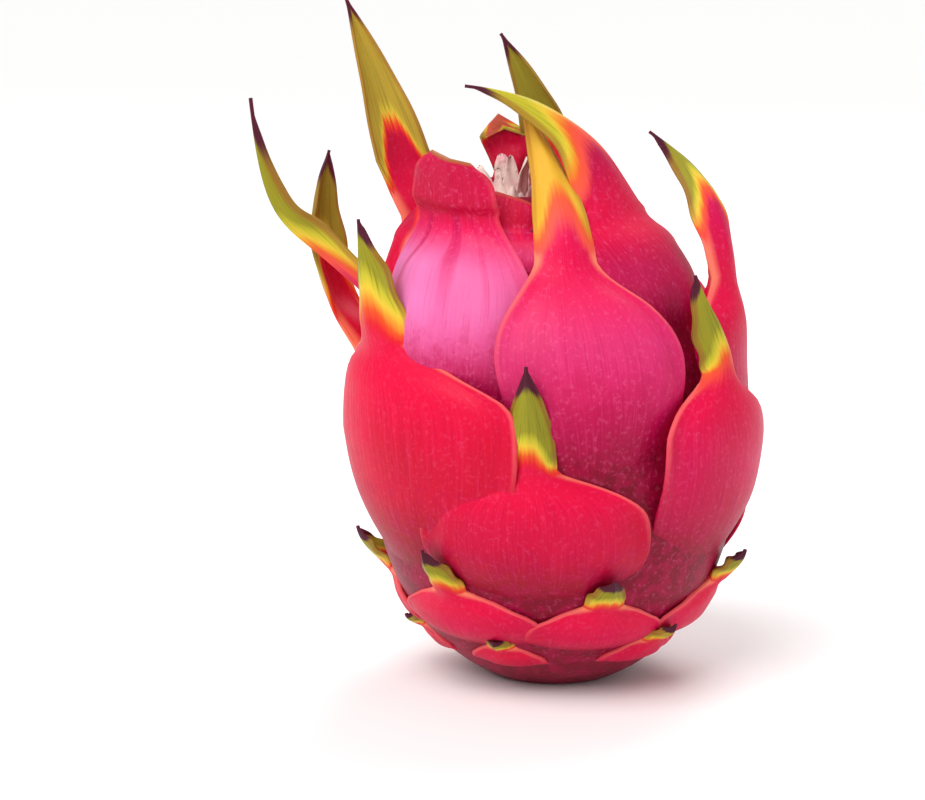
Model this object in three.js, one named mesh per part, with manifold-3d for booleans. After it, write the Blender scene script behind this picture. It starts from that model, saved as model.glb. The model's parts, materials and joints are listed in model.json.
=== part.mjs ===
// A whole dragon fruit, standing on its stem end with its crown up.
//
// Millimetres, +Z up. The origin is the middle of the flat spot that the fruit stands on, at the cut face of
// its stem, and -Y is its front. A bearing is an angle round the fruit in degrees: 0 is the front, 90 is +X and
// -90 is -X.
//
// The fruit is one grown body. Its leafy scales are fused to it: each one rises out of the skin at its foot,
// swells to a pair of shoulders, narrows to a neck and leaves the body there as a blade with a tip.
import * as THREE from "three";
import { mergeVertices } from "three/addons/utils/BufferGeometryUtils.js";
import Module from "manifold-3d";

// The body, without its scales
const BODY_HEIGHT = 127;
const WIDEST_AT = 62;
const WIDEST_RADIUS = 45;
const REST_RADIUS = 14; // of the flat spot
const LOW_POWER = 2.4; // roundness of the part below the widest place
const HIGH_POWER = 1.2; // and of the part above it
const HIGH_ROOT = 0.4;
const CROWN_SHIFT = -10.5; // how far the crown bends to -X
const BODY_SIDES = 48;
const BODY_ROWS = 18;

// The hollow round the stem and the hollow at the crown
const STEM_HOLLOW = { radius: 8.5, depth: 5.5 };
const NAVEL = { radius: 21, depth: 8 };

// The walls of those hollows: shares of their radius and of their depth
const STEM_WALL = [[0, 1], [0.62, 0.9], [0.92, 0.45], [1, 0]];
const NAVEL_WALL = [[0.9, 0.05], [0.78, 0.4], [0.6, 0.75], [0.3, 0.96], [0, 1]];

// The dried flower. cup: radius and height above the navel's floor, from its underside over its edge to its
// inside.
const STUMP = {
  cup: [[0, 0.6], [3, 1.1], [5.2, 2.9], [5.2, 5.5], [5.3, 7.2], [4.6, 7.1], [3.6, 4.8], [0, 4.2]],
  shift: -3, // to -X from the middle of the crown
  sides: 18,
  shreds: 8,
  shredRadius: 1.3,
  shredsAt: 4.6, // distance from the axis
  shredsFrom: 5.5,
  shortest: 4,
  tallest: 10,
  shredSides: 5,
  spread: 6, // degrees outwards
  raggedness: 2.3, // how much the shreds differ in height
};

// The cut stem: radius and height, from its cut face up. That face lies level with the flat spot round it.
const STUB = { outline: [[0, 0], [5.2, 0], [5.5, 0.6], [5.1, 2.6], [4.2, 4.2], [0, 4.9]], sides: 20 };

// A scale's thickness and its height above the skin
const SUNK = 3; // how deep its root lies in the body
const CREST = 4.4; // height of its middle at the shoulders
const RIM = 2.4; // height of its edge at the shoulders
const EDGE_THICKNESS = 0.9;
const BLADE_THICKNESS = 2.3;
const ROOT_THICKNESS = 3.6; // extra, where a blade leaves the body
const LEAST_HEIGHT = 0.5; // no scale comes nearer than this to what the fruit stands on

const FOOT_WIDTH = 0.5; // share of the shoulders' width that a scale has at its foot
const FOOT_SHOWS = 0.5; // how far its outer face lies above its root there
const EDGE_FOLLOWS_LOW = 0.7; // how far the edges follow a crest that is lower than the usual one
const EDGE_FOLLOWS_HIGH = 0.5; // and one that is higher

// The stretches in which a scale changes, as places along it: 0 is the foot and 1 the neck
const MIDDLE_RISES = [0, 0.6];
const EDGES_RISE = [0.12, 0.62];
const CREST_RISES = [0.5, 1]; // to a height above the usual one
const RIMS_RISE = [0.3, 0.65];
const BULGE_RISES = [0, 0.5];
const BULGE_FALLS = [0.65, 1];
const SLANT_ENDS = [0.65, 1];
const PINCH_BEGINS = [0.8, 0.95]; // where a cuff draws it in
const TWIST_BEGINS = [0.75, 1];

// The same for a blade, where 0 is the neck and 1 the tip or the cut
const ROOT_THINS = [0, 0.22];
const CUFF_STANDS_OUT = [0, 0.16];
const CUT_SLOPES = [0.8, 1];
const EARLY_TWIST = 0.35; // the share of a blade's twist that it has at its neck
const CUT_SLOPE = 1.3; // how much lower a cut edge is inside

// Places along a scale: 0 is the foot and 1 the neck, then 0 the neck and 1 the tip
const SKIN_PLACES = [0, 0.2, 0.4, 0.56, 0.7, 0.81, 0.91, 1];
const BLADE_PLACES = [0.15, 0.32, 0.5, 0.68, 0.84, 0.95];
const SIMPLER_BY = 0.28; // merged away where the fused surface is flat to within this

// The scales that the front shows, and those behind that complete their spiral.
// at: bearing of the neck. slant: how much further round the foot lies. foot, neck: heights.
// widest: the place of the shoulders between them. half, throat: half the width there and at the neck.
// square: how flat the shoulders are. leaves: the place where it begins to leave the skin's curve.
// crest: height above the skin at the neck. bulge: extra height halfway up.
// rims: extra height of the left and the right edge.
// lean: how far the blade leaves the skin outwards, in degrees. tip: its place. points: the bearing and the
// elevation that the tip points to. full: how long the blade stays wide. belly: how much it widens past the
// neck. fold: how deep its channel is. twist: how far it turns on its way to the tip, in degrees. soon: the place
// by which it has turned. stiff: how far the blade keeps its first and its last direction.
// cut, bevel, peak: the share of the blade that is left where it was trimmed, the slope of that cut, and how far
// its middle stands up. cuff: how far a trimmed blade is folded over at the neck.
const SCALES = {
  low_front: {
    at: -8, foot: 18, neck: 58.5, half: 27, throat: 6.4, square: 2.6, bulge: 1.5,
    lean: 4, tip: [-8, -53, 84], points: [-90, 89], fold: 0.5, full: 1.8, rims: [0.6, 0.6],
  },
  low_right: {
    at: 58, slant: 6, foot: 22, neck: 77, half: 27, throat: 6.8, square: 2.4, crest: 8, bulge: 1.5,
    lean: 4, tip: [32, -31, 102], points: [-90, 72], fold: 0.5, full: 1.8, rims: [2.4, 0.6],
  },
  low_left: {
    at: -61, slant: 5, foot: 18, neck: 82, widest: 0.75, half: 36, throat: 11, square: 1.9, leaves: 0.88,
    crest: 8, bulge: 1.5, lean: 26, tip: [-47, -23, 114], points: [-90, 86], full: 1.3, twist: 10,
    rims: [0.6, 2],
  },
  middle_front: {
    at: 11.5, slant: 2.5, foot: 46, neck: 105, half: 21.8, throat: 7.3, square: 1.5, bulge: 3.5,
    lean: 8, tip: [-8.5, -13, 141], points: [-90, 66], full: 1.6, rims: [3.8, 1.4],
  },
  trimmed_front: {
    at: -38, foot: 57, neck: 112, half: 22, throat: 11.8, crest: 4.5, bulge: 2.5,
    lean: 42, tip: [-25.5, -28, 136], points: [-60, 88], full: 1.5, belly: 0.3, fold: 0.15, cut: 0.68,
    bevel: -0.05, cuff: 1.6, rims: [0, -1.4],
  },
  trimmed_inner: {
    at: -20.5, foot: 94, neck: 112, half: 13, throat: 12.3, crest: 1.1,
    rims: [-0.6, 2.2], lean: 24, tip: [-11, -20, 134], points: [0, 88], cut: 0.35,
  },
  left_horn: {
    at: -85, foot: 50, neck: 90, half: 18, throat: 5.2,
    lean: 62, tip: [-73, -5, 141], points: [-90, 84], fold: 0.6, stiff: [0.52, 0.66], twist: 35, soon: 0.4,
  },
  left_rear: {
    at: -104, foot: 34, neck: 77, half: 25, throat: 6, crest: 7,
    lean: 48, tip: [-55, 18, 126], points: [90, 74], full: 3, belly: 0.2, twist: -30, stiff: [0.5, 0.31],
  },
  left_tall: {
    at: -121, foot: 60, neck: 108, half: 22, throat: 7.4,
    lean: 48, tip: [-51, 22, 163], points: [-90, 70], full: 1.9, twist: -45, soon: 0.25,
  },
  right_horn: {
    at: 78, slant: 5, foot: 42, neck: 95, half: 23, throat: 6.5, crest: 11.6,
    lean: 13, tip: [22.5, 4, 132], points: [-90, 36], full: 1.9, twist: -42, soon: 0.5,
    stiff: [0.45, 0.38],
  },
  right_sweep: {
    at: 55, slant: 7, foot: 78, neck: 114, half: 26, throat: 18.5, crest: 3.2,
    lean: 15, tip: [-22, -19, 145], points: [-90, 6], full: 0.5,
  },
  crown_rear: {
    at: 165, foot: 66, neck: 114, half: 20, throat: 6.8,
    lean: 26, tip: [-13, 22, 154], points: [-90, 56],
  },
  trimmed_rear: {
    at: -172, foot: 84, neck: 117, half: 11, throat: 3.7,
    belly: 1.1, lean: 40, tip: [-17, 22, 152], points: [0, 86], cut: 0.43, bevel: 0.3, peak: 0.7,
  },
  rear_high_right: {
    at: 128, foot: 48, neck: 84, half: 23, throat: 6,
    lean: 22, tip: [28, 33, 103], points: [128, 80],
  },
  rear_high_left: {
    at: -150, foot: 58, neck: 99, half: 22, throat: 6,
    lean: 34, tip: [-27, 38, 120], points: [-150, 84],
  },
  rear_right: {
    at: 158, foot: 40, neck: 92, half: 25, throat: 6.5,
    lean: 30, tip: [14, 46, 118], points: [158, 84],
  },
  rear_middle: {
    at: -162, foot: 32, neck: 78, half: 26, throat: 6.5,
    lean: 28, tip: [-15, 53, 106], points: [-162, 84],
  },
  low_rear_middle: {
    at: 166, foot: 14, neck: 52, half: 27, throat: 6.5,
    lean: 16, tip: [10, 53, 76], points: [166, 86],
  },
  low_rear_left: {
    at: -132, foot: 18, neck: 58, half: 27, throat: 6.5,
    lean: 20, tip: [-40, 38, 83], points: [-132, 84],
  },
  low_rear_right: {
    at: 118, foot: 16, neck: 58, half: 27, throat: 6.5,
    lean: 16, tip: [46, 28, 83], points: [112, 86],
  },
  high_left: {
    at: -88, foot: 72, neck: 104, half: 17, throat: 8, crest: 3.4,
    lean: 8, tip: [-29, 3, 121], points: [60, 80], full: 1.6,
  },
  high_right: {
    at: 112, foot: 62, neck: 100, half: 22, throat: 7, crest: 3.8,
    lean: 8, tip: [13.5, 12, 117], points: [-70, 60], full: 1.6,
  },
};

const USUAL = {
  slant: 0, widest: 0.52, square: 2, leaves: 0.8, crest: CREST, bulge: 0, rims: [0, 0], full: 2, belly: 0,
  fold: 0.35, twist: 0, soon: 1, stiff: [0.38, 0.38], cut: 1, bevel: 0, peak: 0, cuff: 0, columns: 6,
};

// Two rings of small scales near the stem. reach: how far a blade stands up from the neck, along the skin.
const LOW_RING = {
  count: 6, first: -43, foot: 7, neck: 26, half: 19, throat: 5, crest: 2.6, lean: 14, reach: 12, columns: 4,
};
const STEM_RING = {
  count: 6, first: -20, foot: 4, neck: 12, half: 11, throat: 3.6, crest: 1.6, lean: 14, reach: 7, columns: 4,
};
const RING_OUTWARDS = 0.25; // the share of the reach that a tip stands off the skin
const RING_POINTS = 78; // elevation that a tip points to

// How much the scales of a ring differ: in bearing and height, and in shares of their width and length
const RING_SHIFT = 5;
const RING_RISE = 1.7;
const RING_WIDENS = 0.12;
const RING_LENGTHENS = 0.3;

const wasm = await Module();
wasm.setup();

const radians = THREE.MathUtils.degToRad;
const mix = THREE.MathUtils.lerp;

// 0 below 0, 1 above 1, and smooth between them
function smooth(x) {
  const t = THREE.MathUtils.clamp(x, 0, 1);
  return t * t * (3 - 2 * t);
}

// 0 before a stretch, 1 after it, and smooth along it
function ramp(place, [from, to]) {
  return smooth((place - from) / (to - from));
}

// Radius of the bare body at a height
function radiusAt(z) {
  if (z > WIDEST_AT) {
    const rise = Math.min((z - WIDEST_AT) / (BODY_HEIGHT - WIDEST_AT), 1);
    return WIDEST_RADIUS * (1 - rise ** HIGH_POWER) ** HIGH_ROOT;
  }
  const atRest = (1 - (REST_RADIUS / WIDEST_RADIUS) ** 2) ** (1 / LOW_POWER);
  const drop = ((WIDEST_AT - z) / WIDEST_AT) * atRest;
  return WIDEST_RADIUS * Math.sqrt(1 - drop ** LOW_POWER);
}

// Unit vectors of the skin at a bearing and a height: up along it, outwards and sideways
function skinAxes(bearing, z) {
  const step = 0.5;
  const slope = (radiusAt(z + step) - radiusAt(z - step)) / (2 * step);
  const outwards = new THREE.Vector3(Math.sin(radians(bearing)), -Math.cos(radians(bearing)), 0);
  const up = outwards.clone().multiplyScalar(slope).setZ(1).normalize();
  const out = outwards.clone().setZ(-slope).normalize();
  return { up, out, side: new THREE.Vector3(-outwards.y, outwards.x, 0) };
}

// The height at which the crown closes in to the navel's rim
const NAVEL_RIM = heightOfRim();

function heightOfRim() {
  const share = 1 - (NAVEL.radius / WIDEST_RADIUS) ** (1 / HIGH_ROOT);
  return WIDEST_AT + (BODY_HEIGHT - WIDEST_AT) * share ** (1 / HIGH_POWER);
}

// How far the fruit's own axis lies from the upright one
function leanAt(z) {
  return CROWN_SHIFT * (z / BODY_HEIGHT) ** 4;
}

// A point that stands the given height off the skin
function skinPoint(bearing, z, height) {
  const { out } = skinAxes(bearing, z);
  const r = radiusAt(z);
  const onSkin = new THREE.Vector3(
    leanAt(z) + r * Math.sin(radians(bearing)),
    -r * Math.cos(radians(bearing)),
    z,
  );
  return onSkin.addScaledVector(out, height);
}

// The unit vector of a bearing and an elevation
function direction([bearing, elevation]) {
  const flat = Math.cos(radians(elevation));
  return new THREE.Vector3(
    flat * Math.sin(radians(bearing)),
    -flat * Math.cos(radians(bearing)),
    Math.sin(radians(elevation)),
  );
}

// A closed skin over rings of points, each ring anticlockwise seen from the last one
function loft(rings) {
  const points = rings.flat();
  const faces = [];
  const size = rings[0].length;
  for (let row = 0; row + 1 < rings.length; row++)
    for (let i = 0; i < size; i++) {
      const a = row * size + i;
      const b = row * size + ((i + 1) % size);
      faces.push(a, b, b + size, a, b + size, a + size);
    }
  for (const [row, turned] of [[0, true], [rings.length - 1, false]]) {
    const middle = rings[row].reduce((sum, p) => sum.add(p), new THREE.Vector3()).divideScalar(size);
    points.push(middle);
    for (let i = 0; i < size; i++) {
      const a = row * size + i;
      const b = row * size + ((i + 1) % size);
      faces.push(points.length - 1, ...(turned ? [b, a] : [a, b]));
    }
  }
  return new THREE.BufferGeometry().setFromPoints(points).setIndex(faces);
}

// Half the width of a scale that lies on the skin, from its foot at 0 to its neck at 1
function skinHalfWidth(place, { widest, half, throat, square }) {
  if (place < widest) return half * mix(FOOT_WIDTH, 1, Math.sin((Math.PI / 2) * (place / widest)));
  const rest = (place - widest) / (1 - widest);
  return mix(throat, half, (1 + Math.cos(Math.PI * rest ** square)) / 2);
}

// The curve of a blade, from the neck to the tip
function bladeCurve({ at, neck, lean, tip, points, crest, stiff }) {
  const { up, out } = skinAxes(at, neck);
  const start = skinPoint(at, neck, crest);
  const end = new THREE.Vector3(...tip);
  const leave = up.multiplyScalar(Math.cos(radians(lean))).addScaledVector(out, Math.sin(radians(lean)));
  const length = start.distanceTo(end);
  const curve = new THREE.CubicBezierCurve3(
    start,
    start.clone().addScaledVector(leave, stiff[0] * length),
    end.clone().addScaledVector(direction(points), -stiff[1] * length),
    end,
  );
  return { curve, leave };
}

// Places across a scale, from one edge at -1 to the other at 1
function columnsOf({ columns }) {
  return Array.from({ length: columns + 1 }, (_, i) => (2 * i) / columns - 1);
}

// Height of a scale's outer face above the skin, at a place along it and across it
function faceHeight(place, t, { crest, bulge, rims, cuff }) {
  const lower = Math.min(crest - CREST, 0);
  const higher = Math.max(crest - CREST, 0) * ramp(place, CREST_RISES);
  const root = -SUNK + FOOT_SHOWS;
  const middle = mix(root, CREST + lower, ramp(place, MIDDLE_RISES)) + higher;
  const rim = mix(root, RIM + lower * EDGE_FOLLOWS_LOW, ramp(place, EDGES_RISE)) + higher * EDGE_FOLLOWS_HIGH;
  const edge = rim + rims[t < 0 ? 0 : 1] * ramp(place, RIMS_RISE);
  const swell = bulge * ramp(place, BULGE_RISES) * (1 - ramp(place, BULGE_FALLS)) * (1 - t * t);
  const pinch = cuff * ramp(place, PINCH_BEGINS) * (1 - t ** 4);
  return mix(middle, edge, t * t) + swell - pinch;
}

// One ring round a scale where it lies on the skin: its outer face, then its root, which is sunk in the body
function skinRing(place, scale) {
  const z = mix(scale.foot, scale.neck, place);
  const width = skinHalfWidth(place, scale);
  const middle = scale.at + scale.slant * (1 - ramp(place, SLANT_ENDS));
  const bearing = (t) => middle + THREE.MathUtils.radToDeg((t * width) / radiusAt(z));
  const across = columnsOf(scale);
  const face = across.map((t) => skinPoint(bearing(t), z, faceHeight(place, t, scale)));
  const root = across.map((t) => skinPoint(bearing(t), z, -SUNK)).reverse();
  return [...face, ...root];
}

// One ring round a blade. Its edges turn inwards, so its inner face is a channel.
function bladeRing(columns, middle, side, out, width, fold, thickness) {
  const at = (t, depth) =>
    middle
      .clone()
      .addScaledVector(side, t * width)
      .addScaledVector(out, -fold * width * t * t - depth);
  const face = columns.map((t) => at(t, 0));
  const back = columns.map((t) => at(t, mix(thickness, EDGE_THICKNESS, t * t))).reverse();
  return [...face, ...back];
}

// Shapes the cut end of a trimmed blade: its middle may stand up, and its inside is lower than its outside
function trimEnd(ring, columns, along, u, width, { cut, peak }) {
  const inside = CUT_SLOPE * ramp(u / cut, CUT_SLOPES);
  [...columns, ...columns].forEach((t, i) => {
    const drop = peak * width * (u / cut) ** 3 * Math.abs(t);
    ring[i].addScaledVector(along, -drop - (i < columns.length ? 0 : inside));
  });
}

function scaleGeometry(scale) {
  const { at, foot, neck, throat, leaves, full, belly, fold, twist, soon, cut, bevel, cuff } = scale;
  const { curve, leave } = bladeCurve(scale);
  const columns = columnsOf(scale);
  const across = new THREE.Vector3();
  const rings = [];
  for (const place of SKIN_PLACES) {
    // The last stretch below the neck turns from the skin's curve into the blade's own
    const turning = twist * EARLY_TWIST * ramp(place, TWIST_BEGINS);
    across.copy(skinAxes(at, neck).side).applyAxisAngle(leave, radians(turning));
    const out = across.clone().cross(leave);
    const below = (1 - place) * (neck - foot);
    const middle = curve.v0.clone().addScaledVector(leave, -below).addScaledVector(out, -cuff / 2);
    const width = skinHalfWidth(place, scale);
    const free = bladeRing(columns, middle, across, out, width, fold, BLADE_THICKNESS + ROOT_THICKNESS);
    const share = ramp(place, [leaves, 1]);
    rings.push(skinRing(place, scale).map((p, i) => p.lerp(free[i], share)));
  }
  const places = BLADE_PLACES.map((u) => u * cut);
  let last = twist * EARLY_TWIST;
  for (const u of cut < 1 ? [...places, cut] : places) {
    const along = curve.getTangent(u);
    const turning = twist * mix(EARLY_TWIST, 1, Math.min(u / soon, 1));
    across.addScaledVector(along, -across.dot(along)).normalize();
    across.applyAxisAngle(along, radians(turning - last));
    last = turning;
    const out = across.clone().cross(along);
    const swell = 1 + belly * Math.sin(Math.PI * u);
    const width = Math.max(throat * (1 - u ** full) * swell, EDGE_THICKNESS / 2);
    const root = ROOT_THICKNESS * (1 - ramp(u, ROOT_THINS));
    const thickness = mix(BLADE_THICKNESS, EDGE_THICKNESS, u) + root;
    const side = across.clone().addScaledVector(along, (bevel * u) / cut);
    const middle = curve.getPoint(u).addScaledVector(out, cuff * (ramp(u, CUFF_STANDS_OUT) - 0.5));
    const ring = bladeRing(columns, middle, side, out, width, fold * (1 + u), thickness);
    if (cut < 1) trimEnd(ring, columns, along, u, width, scale);
    rings.push(ring);
  }
  if (cut === 1) rings.push(rings[0].map(() => curve.v3.clone()));
  for (const ring of rings) for (const p of ring) p.z = Math.max(p.z, LEAST_HEIGHT);
  return loft(rings);
}

// A ring of scales round the body, each with a blade that stands off the skin by about its reach. No two
// neighbours are quite alike.
function ringOfScales({ count, first, reach, ...like }) {
  return Array.from({ length: count }, (_, i) => {
    const differs = Math.sin(2.4 * i + first);
    const at = first + (360 / count) * i + RING_SHIFT * differs;
    const neck = like.neck + RING_RISE * Math.cos(1.7 * i + first);
    const half = like.half * (1 + RING_WIDENS * Math.sin(3.1 * i + first));
    const long = reach * (1 + RING_LENGTHENS * differs);
    const { up, out } = skinAxes(at, neck);
    const tip = skinPoint(at, neck, like.crest)
      .addScaledVector(up, long)
      .addScaledVector(out, long * RING_OUTWARDS);
    return { ...like, at, neck, half, tip: tip.toArray(), points: [at, RING_POINTS] };
  });
}

// An outline of radius and height, turned round the upright axis
function turned(outline, sides) {
  const points = outline.map(([radius, z]) => new THREE.Vector2(radius, z));
  return new THREE.LatheGeometry(points, sides).rotateX(Math.PI / 2);
}

// The same shape on the fruit's own axis
function leaned(geometry) {
  const places = geometry.attributes.position;
  for (let i = 0; i < places.count; i++) places.setX(i, places.getX(i) + leanAt(places.getZ(i)));
  return geometry;
}

// The bare body
function bodyGeometry() {
  const outline = STEM_WALL.map(([share, depth]) => [STEM_HOLLOW.radius * share, STEM_HOLLOW.depth * depth]);
  for (let row = 0; row <= BODY_ROWS; row++) {
    // Rows lie closer together near the two ends, where the outline turns fastest
    const z = (NAVEL_RIM * (1 - Math.cos((Math.PI * row) / BODY_ROWS))) / 2;
    outline.push([radiusAt(z), z]);
  }
  for (const [share, depth] of NAVEL_WALL)
    outline.push([NAVEL.radius * share, NAVEL_RIM - NAVEL.depth * depth]);
  return leaned(turned(outline, BODY_SIDES));
}

// A closed geometry as a solid that can be joined and cut
function solidOf(geometry) {
  const bare = geometry.clone();
  bare.deleteAttribute("normal");
  bare.deleteAttribute("uv");
  const merged = mergeVertices(bare, 1e-3);
  return new wasm.Manifold(
    new wasm.Mesh({
      numProp: 3,
      vertProperties: merged.attributes.position.array,
      triVerts: new Uint32Array(merged.index.array),
    }),
  );
}

// The outer shell of a solid: hollows that fusing has sealed are filled, and loose scraps dropped
function largestBody(solid) {
  return solid.decompose().sort((a, b) => b.volume() - a.volume())[0];
}

function geometryOf(solid) {
  const { vertProperties, triVerts } = solid.getMesh();
  return new THREE.BufferGeometry()
    .setAttribute("position", new THREE.BufferAttribute(vertProperties, 3))
    .setIndex(new THREE.BufferAttribute(triVerts, 1));
}

function fruit() {
  const scales = [...Object.values(SCALES), ...ringOfScales(LOW_RING), ...ringOfScales(STEM_RING)];
  let whole = solidOf(bodyGeometry());
  for (const scale of scales) whole = whole.add(solidOf(scaleGeometry({ ...USUAL, ...scale })));
  return geometryOf(largestBody(whole.simplify(SIMPLER_BY)));
}

// What is left of the dried flower: a small cup in the navel with a ragged rim
function flowerStump() {
  const floor = NAVEL_RIM - NAVEL.depth;
  const middle = leanAt(NAVEL_RIM) + STUMP.shift;
  const cup = STUMP.cup.map(([radius, above]) => [radius, floor + above]);
  let stump = solidOf(turned(cup, STUMP.sides).translate(middle, 0, 0));
  for (let i = 0; i < STUMP.shreds; i++) {
    const bearing = (360 / STUMP.shreds) * i;
    const height = mix(STUMP.shortest, STUMP.tallest, (1 + Math.sin(STUMP.raggedness * i)) / 2);
    const shred = new THREE.ConeGeometry(STUMP.shredRadius, height, STUMP.shredSides)
      .translate(0, height / 2, 0)
      .rotateX(Math.PI / 2 - radians(STUMP.spread))
      .translate(0, -STUMP.shredsAt, 0)
      .rotateZ(radians(bearing))
      .translate(middle, 0, floor + STUMP.shredsFrom);
    stump = stump.add(solidOf(shred));
  }
  return geometryOf(largestBody(stump));
}

// The cut end of the stem
function stemStub() {
  return turned(STUB.outline, STUB.sides);
}

const PARTS = {
  fruit: { geometry: fruit(), color: 0xd81b6a, roughness: 0.45 },
  flower_stump: { geometry: flowerStump(), color: 0xd9c3a5, roughness: 0.85 },
  stem_stub: { geometry: stemStub(), color: 0x8a7a55, roughness: 0.9 },
};

const group = new THREE.Group();
for (const [name, { geometry, color, roughness }] of Object.entries(PARTS)) {
  const mesh = new THREE.Mesh(geometry, new THREE.MeshStandardMaterial({ color, roughness }));
  mesh.name = name;
  group.add(mesh);
}

export default group;
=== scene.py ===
# %% [markdown]
# # A whole dragon fruit
# The fruit stands on its stem end with its crown up. Its body is an egg of magenta skin, and leafy scales
# grow out of that skin in a spiral. Each scale swells to a pair of shoulders, narrows to a neck and leaves
# the body there as a blade, which turns from red through orange and green to a purple tip.
#
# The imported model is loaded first. It has the same shapes with few faces, and it says where everything is.

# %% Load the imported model
import json
from types import SimpleNamespace

import bmesh
import bpy
import numpy as np
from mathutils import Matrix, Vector

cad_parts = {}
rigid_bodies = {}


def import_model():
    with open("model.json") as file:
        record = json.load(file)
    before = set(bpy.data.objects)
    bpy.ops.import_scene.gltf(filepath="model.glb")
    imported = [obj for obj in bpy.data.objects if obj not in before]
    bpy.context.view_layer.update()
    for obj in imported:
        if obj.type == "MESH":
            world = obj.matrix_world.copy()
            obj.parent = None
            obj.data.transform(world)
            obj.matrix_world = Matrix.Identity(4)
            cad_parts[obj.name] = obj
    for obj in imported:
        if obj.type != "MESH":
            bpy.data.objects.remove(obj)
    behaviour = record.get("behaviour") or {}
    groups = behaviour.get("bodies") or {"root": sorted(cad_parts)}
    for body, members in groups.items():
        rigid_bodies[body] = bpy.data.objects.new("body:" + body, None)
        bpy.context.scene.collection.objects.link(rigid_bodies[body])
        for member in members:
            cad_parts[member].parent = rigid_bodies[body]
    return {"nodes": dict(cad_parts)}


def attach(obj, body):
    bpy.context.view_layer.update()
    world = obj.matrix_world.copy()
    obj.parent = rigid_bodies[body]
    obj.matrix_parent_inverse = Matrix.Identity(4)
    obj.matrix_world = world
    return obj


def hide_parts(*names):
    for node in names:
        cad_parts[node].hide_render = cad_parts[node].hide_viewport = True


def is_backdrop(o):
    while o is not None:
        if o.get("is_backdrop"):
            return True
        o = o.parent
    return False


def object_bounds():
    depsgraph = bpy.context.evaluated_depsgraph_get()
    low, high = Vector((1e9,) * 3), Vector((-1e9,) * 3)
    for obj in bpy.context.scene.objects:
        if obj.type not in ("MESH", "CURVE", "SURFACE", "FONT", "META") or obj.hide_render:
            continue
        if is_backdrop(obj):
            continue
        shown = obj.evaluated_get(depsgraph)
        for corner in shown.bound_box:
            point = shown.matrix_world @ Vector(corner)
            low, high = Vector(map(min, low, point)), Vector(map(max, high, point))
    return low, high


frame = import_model()
cad_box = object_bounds()
print("packed nodes:", ", ".join(sorted(frame["nodes"])))

# %% [markdown]
# ## Measures
# Lengths are millimetres here, and become metres when a mesh is made. A bearing is an angle round the fruit,
# in degrees: 0 is the front, 90 is +X and -90 is -X.

# %% The body's measures
MM = 0.001
BODY_HEIGHT = 127
WIDEST_AT = 62
WIDEST_RADIUS = 45
REST_RADIUS = 14  # of the flat spot that the fruit stands on
LOW_POWER = 2.4  # roundness of the part below the widest place
HIGH_POWER = 1.2  # and of the part above it
HIGH_ROOT = 0.4  # the smaller it is, the blunter the crown
CROWN_SHIFT = -10.5  # how far the crown bends to -X
CROWN_BENDS = 4  # the power of the height by which it bends
STEM_HOLLOW = (8.5, 5.5)  # radius, depth
NAVEL = (21, 8)  # the same of the hollow at the crown
print("the bare body is", 2 * WIDEST_RADIUS, "mm thick")

# %% [markdown]
# ## The skin as a formula
# The body could be a subdivided egg, but the scales have to sit on it exactly. So the skin is a formula: a
# bearing and a height give a point and the directions there. Everything that grows on the fruit asks this
# formula.


# %% Numbers that pass smoothly into one another
def smooth(x):
    """0 below 0, 1 above 1, and smooth between them."""
    t = np.clip(x, 0, 1)
    return t * t * (3 - 2 * t)


def ramp(place, stretch):
    """0 before a stretch, 1 after it, and smooth along it."""
    start, end = stretch
    return smooth((place - start) / (end - start))


def blend(a, b, share):
    return a + (b - a) * share


def hump(x, height, middle, width):
    """A rounded rise, or a dip where its height is negative."""
    return height * np.exp(-(((x - middle) / width) ** 2))


print("halfway up a ramp:", ramp(0.5, (0.2, 0.8)).round(3))


# %% Directions
def unit(v):
    return v / np.linalg.norm(v, axis=-1, keepdims=True)


def direction(bearing, elevation):
    b, e = np.radians(bearing), np.radians(elevation)
    return np.array([np.cos(e) * np.sin(b), -np.cos(e) * np.cos(b), np.sin(e)])


def turn(v, axis, angle):
    """A vector turned about an axis at right angles to it."""
    return v * np.cos(angle) + np.cross(axis, v) * np.sin(angle)


def round_axis(radius, height, bearing, middle=0):
    """Points round an upright axis, from their radius, their height and their bearing in radians."""
    radius, height, bearing, middle = np.broadcast_arrays(radius, height, bearing, middle)
    return np.stack([middle + radius * np.sin(bearing), -radius * np.cos(bearing), height], -1)


print("the front looks along", direction(0, 0).round(3))


# %% The skin
def radius_at(z):
    z = np.asarray(z, float)
    rise = np.clip((z - WIDEST_AT) / (BODY_HEIGHT - WIDEST_AT), 0, 1)
    high = WIDEST_RADIUS * (1 - rise**HIGH_POWER) ** HIGH_ROOT
    at_rest = (1 - (REST_RADIUS / WIDEST_RADIUS) ** 2) ** (1 / LOW_POWER)
    drop = np.clip((WIDEST_AT - z) / WIDEST_AT * at_rest, 0, 1)
    low = WIDEST_RADIUS * np.sqrt(1 - drop**LOW_POWER)
    return np.where(z > WIDEST_AT, high, low)


def lean_at(z):
    """How far the fruit's own axis lies from the upright one."""
    return CROWN_SHIFT * (np.asarray(z, float) / BODY_HEIGHT) ** CROWN_BENDS


def skin_axes(bearing, z):
    """Unit vectors of the skin: up along it, outwards and sideways."""
    step = 0.5
    bearing, z = np.broadcast_arrays(np.radians(bearing), np.asarray(z, float))
    slope = ((radius_at(z + step) - radius_at(z - step)) / (2 * step))[..., None]
    outwards = np.stack([np.sin(bearing), -np.cos(bearing), 0 * bearing], -1)
    side = np.stack([np.cos(bearing), np.sin(bearing), 0 * bearing], -1)
    upright = np.array([0.0, 0.0, 1.0])
    return unit(outwards * slope + upright), unit(outwards - upright * slope), side


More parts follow.
